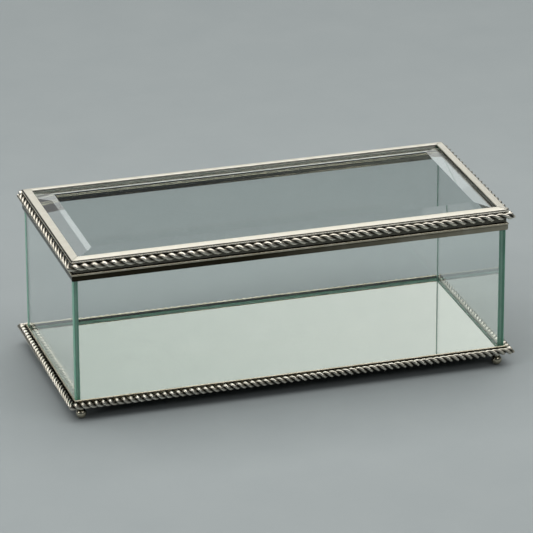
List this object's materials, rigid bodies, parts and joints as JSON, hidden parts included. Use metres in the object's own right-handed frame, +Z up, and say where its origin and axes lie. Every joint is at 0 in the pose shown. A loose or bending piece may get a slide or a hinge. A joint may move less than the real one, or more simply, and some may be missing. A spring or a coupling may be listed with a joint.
{
  "type": "vanity trinket box",
  "caption": "Glass-walled trinket box with a mirror floor, a plated tray on ball feet, twisted rope trim and a hinged lid with a bevelled glass panel.",
  "frame": {"origin": "on the table, under the middle of the box", "axes": "+X along the length to the right, +Y to the back where the hinge is, +Z up"},
  "size_m": [0.2498, 0.1162, 0.0919],
  "materials": {
    "lid_nickel": "bright nickel plate with fine polishing lines",
    "rim_nickel": "polished nickel plate, slightly darkened",
    "tray_nickel": "polished nickel plate",
    "rope_nickel": "polished nickel plate, dark in the grooves of the twist",
    "foot_nickel": "polished nickel plate",
    "hinge_nickel": "polished nickel plate",
    "wall_glass": "clear float glass, 3 mm, green at the cut edges",
    "lid_glass": "clear bevelled plate glass",
    "mirror": "silvered mirror"
  },
  "bodies": {
    "box": {"base_tray": "tray_nickel", "mirror_floor": "mirror", "base_rope_front": "rope_nickel", "base_rope_back": "rope_nickel", "base_rope_left": "rope_nickel", "base_rope_right": "rope_nickel", "foot_front_left": "foot_nickel", "foot_front_right": "foot_nickel", "foot_back_left": "foot_nickel", "foot_back_right": "foot_nickel", "front_glass": "wall_glass", "back_glass": "wall_glass", "left_glass": "wall_glass", "right_glass": "wall_glass", "rim_front": "rim_nickel", "rim_back": "rim_nickel", "rim_left": "rim_nickel", "rim_right": "rim_nickel", "hinge_tube_left": "hinge_nickel", "hinge_tube_right": "hinge_nickel", "hinge_pin": "hinge_nickel"},
    "lid": {"hinge_tube_lid": "hinge_nickel", "lid_glass": "lid_glass", "lid_frame_front": "lid_nickel", "lid_frame_back": "lid_nickel", "lid_frame_left": "lid_nickel", "lid_frame_right": "lid_nickel", "lid_rope_front": "rope_nickel", "lid_rope_left": "rope_nickel", "lid_rope_right": "rope_nickel"}
  },
  "joints": [
    {"name": "lid_hinge", "type": "hinge", "parent": "box", "child": "lid", "pos_m": [0, 0.05545, 0.088], "axis": [-1, 0, 0], "range_deg": [0, 105]}
  ]
}
